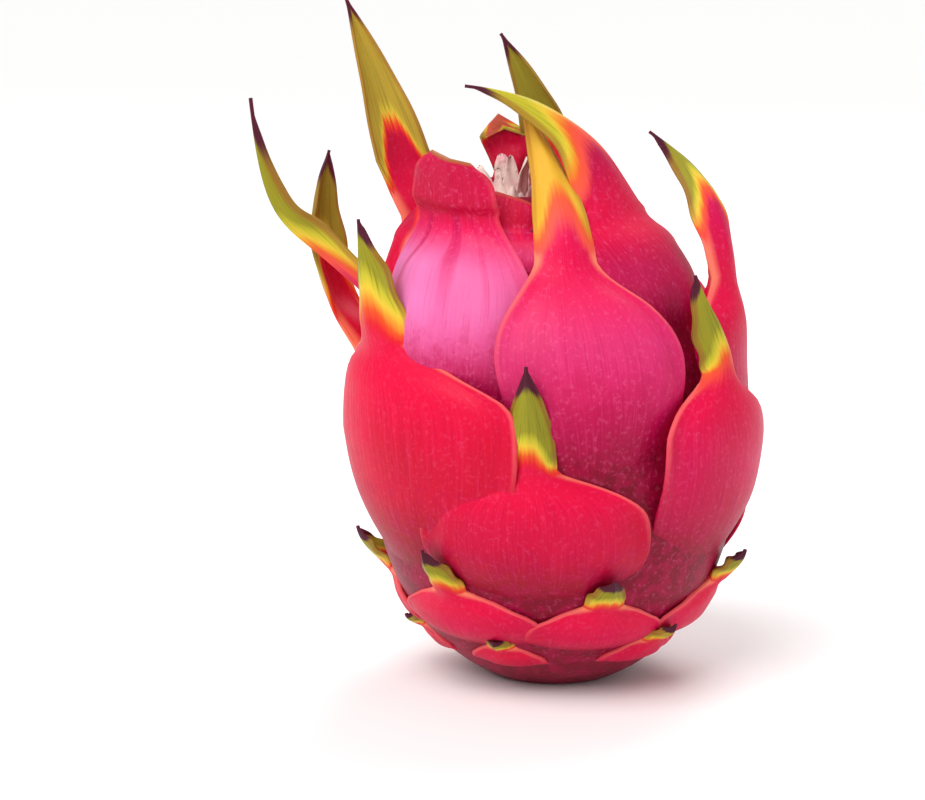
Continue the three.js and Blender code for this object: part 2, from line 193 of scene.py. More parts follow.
def skin_point(bearing, z, height):
    """A point that stands the given height off the skin."""
    bearing, z, height = np.broadcast_arrays(bearing, np.asarray(z, float), height)
    _, out, _ = skin_axes(bearing, z)
    return round_axis(radius_at(z), z, np.radians(bearing), lean_at(z)) + out * height[..., None]


def height_of_rim():
    """The height at which the crown closes in to the rim of its hollow."""
    share = 1 - (NAVEL[0] / WIDEST_RADIUS) ** (1 / HIGH_ROOT)
    return WIDEST_AT + (BODY_HEIGHT - WIDEST_AT) * share ** (1 / HIGH_POWER)


NAVEL_RIM = height_of_rim()
print(f"the crown closes in to its hollow at {NAVEL_RIM:.1f} mm")

# %% [markdown]
# ## The scales
# Every scale has the same build, so one function makes them all from a row of values. The first ones are
# the scales of the front, the others complete their spiral behind. Random scales would be quicker to write,
# but no two of these are alike: some stand up like horns, one sweeps over the crown, and three were
# trimmed.
#
# A row first says where the scale lies on the skin:
# - at: bearing of the neck
# - slant: how much further round the foot lies
# - foot, neck: heights
# - widest: the place of the shoulders between them
# - half, throat: half the width there and at the neck
# - square: how flat the shoulders are
# - leaves: the place where it begins to leave the skin's curve
# - crest: height above the skin at the neck
# - bulge: extra height halfway up
# - rims: extra height of the left and the right edge
#
# Then it gives the blade:
# - lean: how far it leaves the skin outwards, in degrees
# - tip, points: the place of the tip, and the bearing and the elevation that it points to
# - full: how long it stays wide
# - belly: how much it widens past the neck
# - fold: how deep its channel is
# - twist, soon: how far it turns, in degrees, and the place by which it has turned
# - stiff: how far it keeps its first and its last direction
# - cut, bevel: the share that is left where it was trimmed, and the slope of that cut
# - peak: how far the middle of the cut stands up
# - cuff: how far a trimmed blade is folded over at the neck
#
# The last values are for the finish:
# - green, dark: the places on the blade where green and purple begin
# - sharp: how quickly red turns to green
# - ripe: how far that change gets, from 0 for red to 1 for green
# - red: 0 for magenta shoulders, 1 for scarlet ones
# - deep: how crimson and dark the whole scale is, partly its own tone and partly painted shade on scales
#   that lie in shadow
# - fine: its share of the usual number of rings

# %% What each scale is like
SCALES = {
    "low_front": dict(
        at=-8, foot=18, neck=58.5, half=27, throat=6.4, square=2.6, bulge=1.5, lean=4, tip=(-8, -53, 84),
        points=(-90, 89), fold=0.5, full=1.8, rims=(0.6, 0.6), green=0.2, dark=0.78, red=0.95, sharp=2.8,
        deep=0.3,
    ),
    "low_right": dict(
        at=58, slant=6, foot=22, neck=77, half=27, throat=6.8, square=2.4, crest=8, bulge=1.5, lean=4,
        tip=(32, -31, 102), points=(-90, 72), fold=0.5, full=1.8, rims=(2.4, 0.6), green=0.18, dark=0.9,
        red=0.6, deep=0.2,
    ),
    "low_left": dict(
        at=-61, slant=5, foot=18, neck=82, widest=0.75, half=36, throat=11, square=1.9, leaves=0.88,
        crest=8, bulge=1.5, lean=26, tip=(-47, -23, 114), points=(-90, 86), full=1.3, twist=10,
        rims=(0.6, 2), green=0.38, dark=0.9, red=1.0, sharp=1.5,
    ),
    "middle_front": dict(
        at=11.5, slant=2.5, foot=46, neck=105, half=21.8, throat=7.3, square=1.5, bulge=3.5, lean=8,
        tip=(-8.5, -13, 141), points=(-90, 66), full=1.6, rims=(3.8, 1.4), green=0.42, dark=1.4, red=0.3,
        ripe=0.56, sharp=1.5,
    ),
    "trimmed_front": dict(
        at=-38, foot=57, neck=112, half=22, throat=11.8, crest=4.5, bulge=2.5, lean=42,
        tip=(-25.5, -28, 136), points=(-60, 88), full=1.5, belly=0.3, fold=0.15, cut=0.68, bevel=-0.05,
        cuff=1.6, rims=(0, -1.4), green=2.4, dark=3.0, red=0.0,
    ),
    "trimmed_inner": dict(
        at=-20.5, foot=94, neck=112, half=13, throat=12.3, crest=1.1, rims=(-0.6, 2.2), lean=24,
        tip=(-11, -20, 134), points=(0, 88), cut=0.35, green=2.4, dark=3.0, red=0.3, deep=0.55,
    ),
    "left_horn": dict(
        at=-85, foot=50, neck=90, half=18, throat=5.2, lean=62, tip=(-73, -5, 141), points=(-90, 84),
        fold=0.6, stiff=(0.52, 0.66), twist=35, soon=0.4, green=0.34, dark=0.93, red=0.3,
    ),
    "left_rear": dict(
        at=-104, foot=34, neck=77, half=25, throat=6, crest=7, lean=48, tip=(-55, 18, 126), points=(90, 74),
        full=3, belly=0.2, twist=-30, stiff=(0.5, 0.31), green=0.48, dark=0.9, red=1.0,
    ),
    "left_tall": dict(
        at=-121, foot=60, neck=108, half=22, throat=7.4, lean=48, tip=(-51, 22, 163), points=(-90, 70),
        full=1.9, twist=-45, soon=0.25, green=0.42, dark=0.96, red=0.9, sharp=4, deep=0.3,
    ),
    "right_horn": dict(
        at=78, slant=5, foot=42, neck=95, half=23, throat=6.5, crest=11.6, lean=13, tip=(22.5, 4, 132),
        points=(-90, 36), full=1.9, twist=-42, soon=0.5, stiff=(0.45, 0.38), green=0.55, dark=0.9, red=0.6,
        deep=0.3, sharp=3,
    ),
    "right_sweep": dict(
        at=55, slant=7, foot=78, neck=114, half=26, throat=18.5, crest=3.2, lean=15, tip=(-22, -19, 145),
        points=(-90, 6), full=0.5, green=0.56, dark=0.97, red=0.35, deep=0.8, ripe=0.8, sharp=1.7,
    ),
    "crown_rear": dict(
        at=165, foot=66, neck=114, half=20, throat=6.8, lean=26, tip=(-13, 22, 154), points=(-90, 56),
        green=0.3, dark=0.93, red=0.8,
    ),
    "trimmed_rear": dict(
        at=-172, foot=84, neck=117, half=11, throat=3.7, belly=1.1, lean=40, tip=(-17, 22, 152),
        points=(0, 86), cut=0.43, bevel=0.3, peak=0.7, green=0.57, dark=3.0, red=0.95, sharp=4, deep=0.4,
    ),
    "rear_high_right": dict(
        at=128, foot=48, neck=84, half=23, throat=6, lean=22, tip=(28, 33, 103), points=(128, 80), red=0.4,
    ),
    "rear_high_left": dict(
        at=-150, foot=58, neck=99, half=22, throat=6, lean=34, tip=(-27, 38, 120), points=(-150, 84),
        red=0.3,
    ),
    "rear_right": dict(
        at=158, foot=40, neck=92, half=25, throat=6.5, lean=30, tip=(14, 46, 118), points=(158, 84),
        red=0.3,
    ),
    "rear_middle": dict(
        at=-162, foot=32, neck=78, half=26, throat=6.5, lean=28, tip=(-15, 53, 106), points=(-162, 84),
        red=0.6,
    ),
    "low_rear_middle": dict(
        at=166, foot=14, neck=52, half=27, throat=6.5, lean=16, tip=(10, 53, 76), points=(166, 86), red=0.8,
    ),
    "low_rear_left": dict(
        at=-132, foot=18, neck=58, half=27, throat=6.5, lean=20, tip=(-40, 38, 83), points=(-132, 84),
        red=0.9,
    ),
    "low_rear_right": dict(
        at=118, foot=16, neck=58, half=27, throat=6.5, lean=16, tip=(46, 28, 83), points=(112, 86), red=0.7,
    ),
    "high_left": dict(
        at=-88, foot=72, neck=104, half=17, throat=8, crest=3.4, lean=8, tip=(-29, 3, 121), points=(60, 80),
        full=1.6, green=0.7, dark=1.3, red=0.9, deep=0.5,
    ),
    "high_right": dict(
        at=112, foot=62, neck=100, half=22, throat=7, crest=3.8, lean=8, tip=(13.5, 12, 117),
        points=(-70, 60), full=1.6, green=0.5, dark=0.9, red=0.6,
    ),
}
CREST = 4.4  # the usual height of a scale's middle at its shoulders
USUAL = dict(
    slant=0, widest=0.52, square=2, leaves=0.8, crest=CREST, bulge=0, rims=(0, 0), full=2, belly=0,
    fold=0.35, twist=0, soon=1, stiff=(0.38, 0.38), cut=1, bevel=0, peak=0, cuff=0, green=0.4, dark=0.88,
    sharp=1.9, ripe=1, red=0.5, deep=0, fine=1.0,
)
print(len(SCALES), "scales that differ")

# %% [markdown]
# ## The small scales near the stem
# Below, a dragon fruit has rings of small scales that are all but alike. A loop makes them from one row.
# Copies would look like a flower drawn with compasses, so slow waves shift, raise, widen and lengthen them
# a little.

# %% Rings of small scales
RING_SHIFT = 5  # degrees to either side
RING_RISE = 1.7
RING_WIDENS = 0.12  # share of the width
RING_LENGTHENS = 0.3  # share of the length
RING_WAVES = (2.4, 1.7, 3.1)  # what each of the three waves advances from one scale to the next, in radians
RING_OUTWARDS = 0.25  # the share of its length that a tip stands off the skin
RING_POINTS = 78  # elevation that a tip points to
RING_LIKE = dict(lean=14, green=0.35, dark=0.75, red=0.85, fine=0.5)


def ring_of_scales(name, count, first, foot, neck, half, throat, reach, crest):
    """Small scales round the body, each with a blade that stands up from its neck by about the reach."""
    made = {}
    for i in range(count):
        phases = [i * wave + first for wave in RING_WAVES]
        differs = np.sin(phases[0])
        at = first + 360 / count * i + RING_SHIFT * differs
        high = neck + RING_RISE * np.cos(phases[1])
        wide = half * (1 + RING_WIDENS * np.sin(phases[2]))
        long = reach * (1 + RING_LENGTHENS * differs)
        up, out, _ = skin_axes(at, high)
        tip = skin_point(at, high, crest) + up * long + out * long * RING_OUTWARDS
        made[f"{name}_{i + 1}"] = dict(
            RING_LIKE, at=at, foot=foot, neck=high, half=wide, throat=throat, crest=crest, tip=tip,
            points=(at, RING_POINTS),
        )
    return made


rows = {
    **SCALES,
    **ring_of_scales("low", 6, -43, foot=7, neck=26, half=19, throat=5, reach=12, crest=2.6),
    **ring_of_scales("stem", 6, -20, foot=4, neck=12, half=11, throat=3.6, reach=7, crest=1.6),
}
scales = {name: SimpleNamespace(**{**USUAL, **row}) for name, row in rows.items()}
print(len(scales), "scales in all")

# %% [markdown]
# ## One scale's shape
# A scale is a stack of rings: its outer face from one edge to the other, the rounded edge, the underside
# back, and the other edge. Where it lies on the body the middle of its underside is sunk into the flesh,
# and its edges stand free, so that a dark line shows under them. Past the neck the same ring turns into a
# blade with a channel inside. Sculpting would give one such scale, while rings of formulas give all
# thirty-four, each closed and ready to fuse.

# %% The points round a ring
MARGIN = 0.45  # radius of a scale's edge
EDGE_STEPS = np.array([0.2, 0.4, 0.6, 0.8])  # how far inside the points of an edge are
FACE = np.sin(np.linspace(-np.pi / 2, np.pi / 2, 27))  # across the outer face, denser near the edges
ROUND = np.radians([35, 75, 110, 150])  # round an edge
UNDER = np.array([1, 0.94, 0.84, 0.7, 0.52, 0.28])  # across the underside, from an edge to the middle
UNDERSIDE = np.concatenate([UNDER, [0], -UNDER[::-1]])
RING_ACROSS = np.concatenate([FACE, ROUND * 0 + 1, UNDERSIDE, ROUND * 0 - 1])
RING_INNER = np.concatenate([FACE * 0, EDGE_STEPS, UNDERSIDE * 0 + 1, EDGE_STEPS[::-1]])


def ring_of(width, margin, face_height, under_reach, under_height):
    """Sideways place and height of the points round a ring, whose edges are rounded by the margin."""
    inner = width - margin
    face = face_height(FACE)
    along_edge = inner + margin * np.sin(ROUND)
    drop = margin * (1 - np.cos(ROUND))
    sideways = np.concatenate([FACE * inner, along_edge, under_reach * inner, -along_edge[::-1]])
    height = np.concatenate([face, face[-1] - drop, under_height, face[0] - drop[::-1]])
    return sideways, height


print(len(RING_ACROSS), "points round a ring")

# %% [markdown]
# ## A scale on the skin
# From its foot to its neck a scale follows the body. Its heights above the skin rise in stretches, so a
# scale seems to grow out of the flesh. Its edge has a rolled lip with a groove behind it, and shallow
# pleats run along it to the neck. Both are real dents in the mesh, because a bump in the material would
# vanish at the outline.

# %% How a scale rises from the skin
SUNK = 3  # how deep a scale's root lies in the body
RIM = 2.4  # height of a scale's edge at its shoulders
MIDDLE_SHOWS = 0.6  # how far the foot's outer face lies above its root, in the middle
EDGE_SHOWS = 0.4  # and at the edges
FOOT_WIDTH = 0.5  # share of the shoulders' width that a scale has at its foot
EDGE_FOLLOWS_LOW = 0.7  # how far the edges follow a crest that is lower than the usual one
EDGE_FOLLOWS_HIGH = 0.5  # and one that is higher

# The stretches in which it changes: 0 is the foot and 1 the neck
MIDDLE_RISES = (0, 0.6)
EDGES_RISE = (0.12, 0.62)
CREST_RISES = (0.5, 1)  # to a height above the usual one
RIMS_RISE = (0.3, 0.65)
BULGE_RISES = (0, 0.5)
BULGE_FALLS = (0.65, 1)
SLANT_ENDS = (0.65, 1)
PINCH_BEGINS = (0.8, 0.95)  # where a cuff draws it in
PLEATS_BEGIN = (0.3, 0.9)


def skin_half_width(place, scale):
    """Half the width, from the foot at 0 to the neck at 1."""
    if place < scale.widest:
        return scale.half * blend(FOOT_WIDTH, 1, np.sin(np.pi / 2 * place / scale.widest))
    rest = (place - scale.widest) / (1 - scale.widest)
    return blend(scale.throat, scale.half, (1 + np.cos(np.pi * rest**scale.square)) / 2)


middle_front = scales["middle_front"]
print("middle_front is", 2 * skin_half_width(middle_front.widest, middle_front), "mm wide at its shoulders")

# %% A scale's lip and pleats
LIP = (0.55, 0, 1.3)  # height, distance from the edge, width
GROOVE = (-0.45, 3.6, 1.9)
PLEAT_HEIGHT = 0.16
PLEATS_FADE = 0.6  # how much weaker they are at the edges
PLEATS = ((0.5, 9, 0, 1), (0.3, 17, 3, 2.1), (0.2, 31, -2, 3.7))  # strength, count, drift, phase


def pleats(across, place, seed):
    """Shallow folds that run along a scale and draw together at its neck."""
    waves = sum(
        strength * np.sin(count * across + drift * place + phase * seed)
        for strength, count, drift, phase in PLEATS
    )
    return waves * ramp(place, PLEATS_BEGIN) * (1 - PLEATS_FADE * across**2)


print("deepest pleat:", PLEAT_HEIGHT, "mm")

# %% One ring on the skin
FREE_EDGE = 3.2  # how far a scale's edge stands free of the body
FREE_SHARE = 0.3  # and the largest share of its half width that does
UNDERCUT = 0.25
PAST_FREE = (0, 0.7, 1.6)  # where the underside sinks, past the free edge
SINKS = np.array([0, 0.02, 0.12, 0.75, 1, 1])  # how far it has sunk, from the edge to the middle


def skin_ring(place, scale, seed):
    z = blend(scale.foot, scale.neck, place)
    lower = min(scale.crest - CREST, 0)
    higher = max(scale.crest - CREST, 0) * ramp(place, CREST_RISES)
    crest = blend(MIDDLE_SHOWS - SUNK, CREST + lower, ramp(place, MIDDLE_RISES)) + higher
    rim = blend(EDGE_SHOWS - SUNK, RIM + lower * EDGE_FOLLOWS_LOW, ramp(place, EDGES_RISE))
    rim = rim + higher * EDGE_FOLLOWS_HIGH
    width = skin_half_width(place, scale)
    raised = ramp(place, RIMS_RISE)
    left, right = scale.rims

    def face_height(across):
        from_edge = (1 - np.abs(across)) * width
        edge = rim + raised * np.where(across < 0, left, right)
        lip = hump(from_edge, *LIP) + hump(from_edge, *GROOVE)
        pinch = scale.cuff * ramp(place, PINCH_BEGINS) * (1 - across**4)
        swell = scale.bulge * ramp(place, BULGE_RISES) * (1 - ramp(place, BULGE_FALLS)) * (1 - across**2)
        relief = lip * raised * scale.fine + PLEAT_HEIGHT * pleats(across, place, seed)
        return blend(crest, edge, across**2) + relief + swell - pinch

    # The underside is free of the body for a few millimetres under each edge, and then sunk in it
    free = min(FREE_EDGE, FREE_SHARE * width) * raised
    inner = width - MARGIN
    from_edge = np.array([0, free / 2, *(free + past for past in PAST_FREE), 0])
    from_edge[-1] = blend(from_edge[-2], inner, 0.5)
    reach = np.concatenate([1 - from_edge / inner, [0], (-1 + from_edge / inner)[::-1]])
    hollow = UNDERCUT * np.sqrt(np.concatenate([from_edge, [0], from_edge[::-1]]))
    under = face_height(reach) - 2 * MARGIN - hollow
    sink = np.concatenate([SINKS, [1], SINKS[::-1]])
    sideways, height = ring_of(width, MARGIN, face_height, reach, blend(under, -SUNK, sink))
    middle = scale.at + scale.slant * (1 - ramp(place, SLANT_ENDS))
    return skin_point(middle + np.degrees(sideways / radius_at(z)), z, height), width


print("a ring on the skin spans", skin_ring(0.5, middle_front, 0)[1].round(1), "mm to either side")

# %% [markdown]
# ## The blade beyond the neck
# Past the neck a scale is a leaf blade that dried while the fruit ripened: stiff, channelled, often
# twisted. A modifier could bend and twist a straight blade, but each of these tips has to end at a place of
# its own. So a Bezier curve leads the blade from the neck to the tip, and each ring of points stands at
# right angles to that curve.

# %% The blade beyond the neck
BLADE_THICKNESS = 2.3
ROOT_THICKNESS = 3.6  # extra, where a blade leaves the body
EARLY_TWIST = 0.35  # the share of a blade's twist that it has at its neck
CUT_SLOPE = 1.3  # how much lower a cut edge is inside
PEAK_POWER = 3  # how late a trimmed blade's cut rises to its peak
CUFF_BEGINS = 0.5  # the share of a cuff by which the neck is drawn in
KEEL_HEIGHT = 0.35  # of the rib along a blade
KEEL = (1, 0, 0.16)  # its height, middle and width in shares of the keel's height and the blade's half width
SIDE_RIBS = (0.25, 13)  # height as a share of the keel's, count
KEEL_WIDTH = 6  # blades narrower than this have a lower keel
RIPPLE = (0.5, 15, 5)  # height, waves in radians, width below which it is weaker
NARROW_MARGIN = 0.45  # the largest share of a blade's half width that its rounded edge takes

# The stretches in which a blade changes: 0 is the neck and 1 the tip or the cut
TWIST_BEGINS = (0.75, 1)  # this one lies before the neck, where 0 is the foot
ROOT_THINS = (0, 0.22)
CUFF_STANDS_OUT = (0, 0.16)
CUT_SLOPES = (0.8, 1)
KEEL_RISES = (0, 0.15)
RIPPLE_BEGINS = (0, 0.2)


def blade_curve(scale, u):
    """A place on the curve from neck to tip, the direction there, and the direction at the neck."""
    up, out, _ = skin_axes(scale.at, scale.neck)
    start = skin_point(scale.at, scale.neck, scale.crest)
    end = np.array(scale.tip, float)
    lean = np.radians(scale.lean)
    leave = up * np.cos(lean) + out * np.sin(lean)
    length = np.linalg.norm(end - start)
    first, last = scale.stiff
    a, b = start + leave * first * length, end - direction(*scale.points) * last * length
    place = (1 - u) ** 3 * start + 3 * (1 - u) ** 2 * u * a + 3 * (1 - u) * u**2 * b + u**3 * end
    along = unit((1 - u) ** 2 * (a - start) + 2 * (1 - u) * u * (b - a) + u**2 * (end - b))
    return place, along, leave


def blade_ring(middle, side, out, width, fold, thickness, u, seed):
    margin = min(MARGIN, NARROW_MARGIN * width)
    keel = KEEL_HEIGHT * min(1, width / KEEL_WIDTH) * ramp(u, KEEL_RISES)
    rib_height, rib_count = SIDE_RIBS
    wave_height, waves, full_width = RIPPLE

    def face_height(across):
        ribs = keel * (hump(across, *KEEL) + rib_height * np.cos(rib_count * across + seed))
        ripple = wave_height * np.sin(waves * u + seed) * across**3
        ripple = ripple * ramp(u, RIPPLE_BEGINS) * min(1, width / full_width)
        return -fold * width * across**2 + ribs + ripple

    under = face_height(UNDERSIDE) - blend(thickness, 2 * margin, UNDERSIDE**2)
    sideways, height = ring_of(width, margin, face_height, UNDERSIDE, under)
    return middle + side * sideways[:, None] + out * height[:, None]


print("middle_front's blade leaves along", blade_curve(middle_front, 0)[2].round(2))

# %% [markdown]
# ## A whole scale
# The rings from the foot to the neck lie on the skin, and those past it lie on the blade's curve. Joining
# two such stacks at the neck would leave a crease, so over the last stretch each ring is a blend of both
# kinds.

# %% The rings up to the neck
SKIN_RINGS = 36
BLADE_RINGS = 44
LAST_RING = 0.995  # just short of a tip
LEAST_HEIGHT = 0.5  # no scale comes nearer than this to what the fruit stands on


def rings_to_neck(scale, seed):
    """The rings from foot to neck, their facts, and the direction across the last of them."""
    start, _, leave = blade_curve(scale, 0)
    _, _, side = skin_axes(scale.at, scale.neck)
    rings, facts = [], []
    for place in np.linspace(0, 1, int(SKIN_RINGS * scale.fine)):
        ring, width = skin_ring(place, scale, seed)
        across = turn(side, leave, np.radians(scale.twist * EARLY_TWIST) * ramp(place, TWIST_BEGINS))
        out = np.cross(across, leave)
        middle = start - leave * (1 - place) * (scale.neck - scale.foot) - out * scale.cuff * CUFF_BEGINS
        thickness = BLADE_THICKNESS + ROOT_THICKNESS
        free = blade_ring(middle, across, out, width, scale.fold, thickness, 0, seed)
        rings.append(blend(ring, free, ramp(place, (scale.leaves, 1))))
        facts.append((place, width))
    return rings, facts, across


print("rings up to middle_front's neck:", len(rings_to_neck(middle_front, 0)[0]))


# %% The rings of a whole scale
def scale_rings(scale, seed):
    """The rings of a scale, where each point lies on it, and how far inside."""
    rings, facts, across = rings_to_neck(scale, seed)
    last = scale.twist * EARLY_TWIST
    steps = np.linspace(0, 1, int(BLADE_RINGS * scale.fine) + 1)[1:] * scale.cut
    if scale.cut == 1:
        steps[-1] = LAST_RING
    for u in steps:
        middle, along, _ = blade_curve(scale, u)
        across = unit(across - along * (across @ along))
        turned = scale.twist * blend(EARLY_TWIST, 1, min(u / scale.soon, 1))
        across = turn(across, along, np.radians(turned - last))
        last = turned
        out = np.cross(across, along)
        width = max(scale.throat * (1 - u**scale.full) * (1 + scale.belly * np.sin(np.pi * u)), MARGIN)
        thickness = blend(BLADE_THICKNESS, 2 * MARGIN, u) + ROOT_THICKNESS * (1 - ramp(u, ROOT_THINS))
        trimmed = u / scale.cut
        side = across + along * scale.bevel * trimmed
        middle = middle + out * scale.cuff * (ramp(u, CUFF_STANDS_OUT) - CUFF_BEGINS)
        ring = blade_ring(middle, side, out, width, scale.fold * (1 + u), thickness, u, seed)
        roof = scale.peak * width * trimmed**PEAK_POWER * np.abs(RING_ACROSS)
        if scale.cut < 1:
            roof = roof + CUT_SLOPE * ramp(trimmed, CUT_SLOPES) * RING_INNER
        rings.append(ring - along * roof[:, None])
        facts.append((1 + u, width))
    points = np.array(rings)
    points[..., 2] = np.maximum(points[..., 2], LEAST_HEIGHT)
    along, width = np.array(facts).T[..., None]
    place = np.stack(np.broadcast_arrays(along, RING_ACROSS, (1 - np.abs(RING_ACROSS)) * width), -1)
    return points, place, np.broadcast_to(RING_INNER, points.shape[:2])


print("rings of middle_front in all:", len(scale_rings(middle_front, 0)[0]))

# %% [markdown]
# ## From rings to one skin
# The rings become closed meshes. Each corner of a face also keeps where it is on its scale, and that
# scale's own colouring, because the finish is worked out from those. Keeping them on corners and not on
# points leaves a clean line where one scale lies on the next. Remeshing everything would melt the thin
# edges, so a boolean fuses it.


# %% From rings to a mesh
def closed_mesh(name, points, facts):
    """A closed mesh over rings of points. facts: an attribute's name, and its three values at each point."""
    rows, size = points.shape[:2]
    ends = points[[0, -1]].mean(1)
    verts = np.concatenate([points.reshape(-1, 3), ends]) * MM
    i, j = np.meshgrid(np.arange(rows - 1), np.arange(size), indexing="ij")
    a, b = i * size + j, i * size + (j + 1) % size
    faces = np.stack([a, b, b + size, a + size], -1).reshape(-1, 4).tolist()
    around = np.arange(size)
    following = (around + 1) % size
    low, high = rows * size, rows * size + 1
    faces += [[low, q, p] for p, q in zip(around, following)]
    faces += [[high, (rows - 1) * size + p, (rows - 1) * size + q] for p, q in zip(around, following)]
    mesh = bpy.data.meshes.new(name)
    mesh.from_pydata(verts.tolist(), [], faces)
    corners = np.zeros(len(mesh.loops), int)
    mesh.loops.foreach_get("vertex_index", corners)
    for key, values in facts.items():
        flat = values.reshape(-1, 3)
        flat = np.concatenate([flat, flat[:1], flat[-1:]])
        attribute = mesh.attributes.new(key, "FLOAT_VECTOR", "CORNER")
        attribute.data.foreach_set("vector", flat[corners].astype(np.float32).ravel())
    mesh.shade_smooth()
    return bpy.data.objects.new(name, mesh)


# %% Scales as objects
UNTRIMMED = 3  # where the cut of a scale would lie that has none
SEED_STEP = 0.618  # spreads the scales' own numbers evenly between 0 and 1


def scale_object(name, scale, seed):
    points, place, inner = scale_rings(scale, seed)
    cut = scale.cut if scale.cut < 1 else UNTRIMMED
    return closed_mesh(name, points, {
        "place": place,
        "habit": np.broadcast_to((scale.green, scale.dark, scale.red), points.shape),
        "cast": np.stack(np.broadcast_arrays(inner, (seed * SEED_STEP) % 1, cut), -1),
        "tint": np.broadcast_to((scale.sharp, scale.ripe, scale.deep), points.shape),
    })


grown_scales = [scale_object(name, scale, seed) for seed, (name, scale) in enumerate(scales.items())]
print("faces of all scales:", sum(len(o.data.polygons) for o in grown_scales))

# %% The bare body
BODY_ROWS = 90
BODY_SIDES = 180
AXIS = 0.02  # radius of the ring that closes a shape at its axis
STEM_LEDGE = 11  # halfway out on the flat spot

# The walls of the two hollows: shares of their radius and of their depth
STEM_WALL = ((0.35, 0.98), (0.62, 0.9), (0.8, 0.7), (0.92, 0.45), (0.98, 0.15), (1, 0))
NAVEL_WALL = (
    (0.97, 0.01), (0.9, 0.05), (0.84, 0.2), (0.78, 0.4), (0.6, 0.75), (0.45, 0.9), (0.3, 0.96), (0.002, 1),
)

# The body is coloured like the foot of a scale that never turns green, so it also gets the foot's dark
# crimson, which is partly painted shade between the scales
BARE = {"place": (0.05, 0, 20), "habit": (3, 4, 0.4), "cast": (0, 0.5, UNTRIMMED), "tint": (1, 1, 0)}


def bearings(count):
    return np.linspace(0, 2 * np.pi, count, endpoint=False)


def body_object():
    """The bare body, from the stem's hollow round to the floor of the navel."""
    radius, depth = STEM_HOLLOW
    outline = [(AXIS, depth)]
    outline += [(radius * across, depth * deep) for across, deep in STEM_WALL]
    outline.append((STEM_LEDGE, 0))
    for row in range(BODY_ROWS + 1):
        z = NAVEL_RIM * (1 - np.cos(np.pi * row / BODY_ROWS)) / 2
        outline.append((float(radius_at(z)), z))
    radius, depth = NAVEL
    outline += [(radius * across, NAVEL_RIM - depth * deep) for across, deep in NAVEL_WALL]
    r, z = np.array(outline).T[..., None]
    points = round_axis(r, z, bearings(BODY_SIDES), lean_at(z))
    facts = {key: np.broadcast_to(values, points.shape) for key, values in BARE.items()}
    return closed_mesh("body", points, facts)


body = body_object()
print("faces of the bare body:", len(body.data.polygons))


# %% Fuse the body and its scales
def loose_parts(mesh):
    """For each vertex, the number of the connected part that it belongs to."""
    edges = np.zeros(len(mesh.edges) * 2, int)
    mesh.edges.foreach_get("vertices", edges)
    a, b = edges.reshape(-1, 2).T
    part = np.arange(len(mesh.vertices))
    while True:
        least = np.minimum(part[a], part[b])
        new = part.copy()
        np.minimum.at(new, a, least)
        np.minimum.at(new, b, least)
        new = new[new]
        if (new == part).all():
            return part
        part = new


def drop_scraps(mesh):
    """Leaves only the largest part, so that scraps and sealed hollows go."""
    part = loose_parts(mesh)
    numbers, counts = np.unique(part, return_counts=True)
    scraps = np.flatnonzero(np.isin(part, numbers[counts < counts.max()]))
    if len(scraps):
        bm = bmesh.new()
        bm.from_mesh(mesh)
        bm.verts.ensure_lookup_table()
        bmesh.ops.delete(bm, geom=[bm.verts[i] for i in scraps], context="VERTS")
        bm.to_mesh(mesh)
        bm.free()


def fused(name, first, others):
    """One closed mesh round all of them."""
    scene = bpy.context.scene.collection
    group = bpy.data.collections.new(name)
    scene.objects.link(first)
    for other in others:
        group.objects.link(other)
    join = first.modifiers.new("fuse", "BOOLEAN")
    join.operation, join.solver, join.operand_type = "UNION", "MANIFOLD", "COLLECTION"
    join.collection = group
    mesh = bpy.data.meshes.new_from_object(first.evaluated_get(bpy.context.evaluated_depsgraph_get()))
    drop_scraps(mesh)
    for o in [first, *others]:
        bpy.data.objects.remove(o)
    bpy.data.collections.remove(group)
    mesh.name = name
    whole = bpy.data.objects.new(name, mesh)
    scene.objects.link(whole)
    return whole


SKIN_CREASE = 42  # degrees between two faces past which their edge looks sharp
fruit = fused("fruit_skin", body, grown_scales)
fruit.data.shade_smooth()
fruit.data.set_sharp_from_angle(angle=np.radians(SKIN_CREASE))
print("fruit:", len(fruit.data.vertices), "points,", len(fruit.data.polygons), "faces")

# %% [markdown]
# ## The dried flower
# A dragon fruit keeps what is left of its flower in the hollow of its crown: a short cup, and papery shreds
# of petals that stand up from it. A cloth simulation could crumple sheets of paper, but it takes long and
# leaves them without thickness. Here each shred is a closed strip that waves of a formula narrow, curl and
# crumple.

# %% The cup of the dried flower
# Radius and height above the navel's floor, from its underside over its edge to its inside
STUMP_CUP = (
    (AXIS, 0.6), (3, 1.1), (4.4, 1.9), (5.2, 2.9), (5.2, 5.5), (5.3, 7.2), (4.6, 7.1), (3.6, 4.8),
    (AXIS, 4.2),
)
CUP_SIDES = 72
CUP_RADIUS = 5.2
FLUTES = (0.05, 9)  # depth as a share of the radius, count
FLUTES_BEGIN = (0, 5)  # heights
EDGE_WAVES = ((1.3, 5, 1), (0.9, 13, 0))  # how ragged its edge is: height, count, phase
EDGE_BEGINS = (4, 8.5)
NAVEL_FLOOR = NAVEL_RIM - NAVEL[1]
STUMP_SHIFT = -3  # to -X from the middle of the crown
stump_middle = float(lean_at(NAVEL_RIM)) + STUMP_SHIFT

r, z = np.array(STUMP_CUP).T[..., None]
b = bearings(CUP_SIDES)
flute = 1 + FLUTES[0] * np.sin(FLUTES[1] * b) * ramp(z, FLUTES_BEGIN)
ragged = sum(height * np.sin(count * b + phase) for height, count, phase in EDGE_WAVES)
ragged = ragged * ramp(z, EDGE_BEGINS)
cup = closed_mesh("cup", round_axis(r * flute, NAVEL_FLOOR + z + ragged, b, stump_middle), {})
print("cup:", len(cup.data.polygons), "faces")

